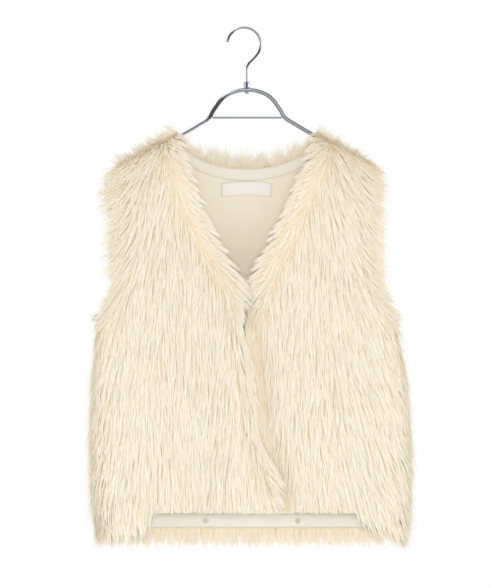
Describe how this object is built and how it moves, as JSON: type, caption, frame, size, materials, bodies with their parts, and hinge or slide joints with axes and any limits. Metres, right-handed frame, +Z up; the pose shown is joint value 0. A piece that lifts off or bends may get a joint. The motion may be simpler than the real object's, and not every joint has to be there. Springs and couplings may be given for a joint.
{
  "type": "faux fur vest on a wire hanger",
  "caption": "Sleeveless long-pile faux fur vest with a V neck and lapped open front, hanging flat on a chrome hanger with a wire hook.",
  "frame": {"origin": "inside the top of the hook, in the vest's middle plane, where a rail carries it", "axes": "+Z up, the vest's front faces -Y, the wearer's left side is at +X"},
  "size_m": [0.492, 0.1001, 0.7886],
  "materials": {
    "fur": "long cream faux fur pile",
    "lining": "soft beige suede-like cloth",
    "band": "smooth matt facing cloth",
    "label": "blank woven satin",
    "thread": "satin stitched thread",
    "chrome": "polished chrome"
  },
  "bodies": {
    "root": {"front_right": "fur", "front_left": "fur", "back": "fur", "back_lining": "lining", "neck_band": "band", "hem_band": "band", "label": "label", "hem_tack_left": "thread", "hem_tack_right": "thread", "hanger_tube": "chrome", "hanger_bar": "chrome", "hanger_hook": "chrome", "hanger_collar": "chrome", "hanger_nut": "chrome"}
  },
  "joints": []
}
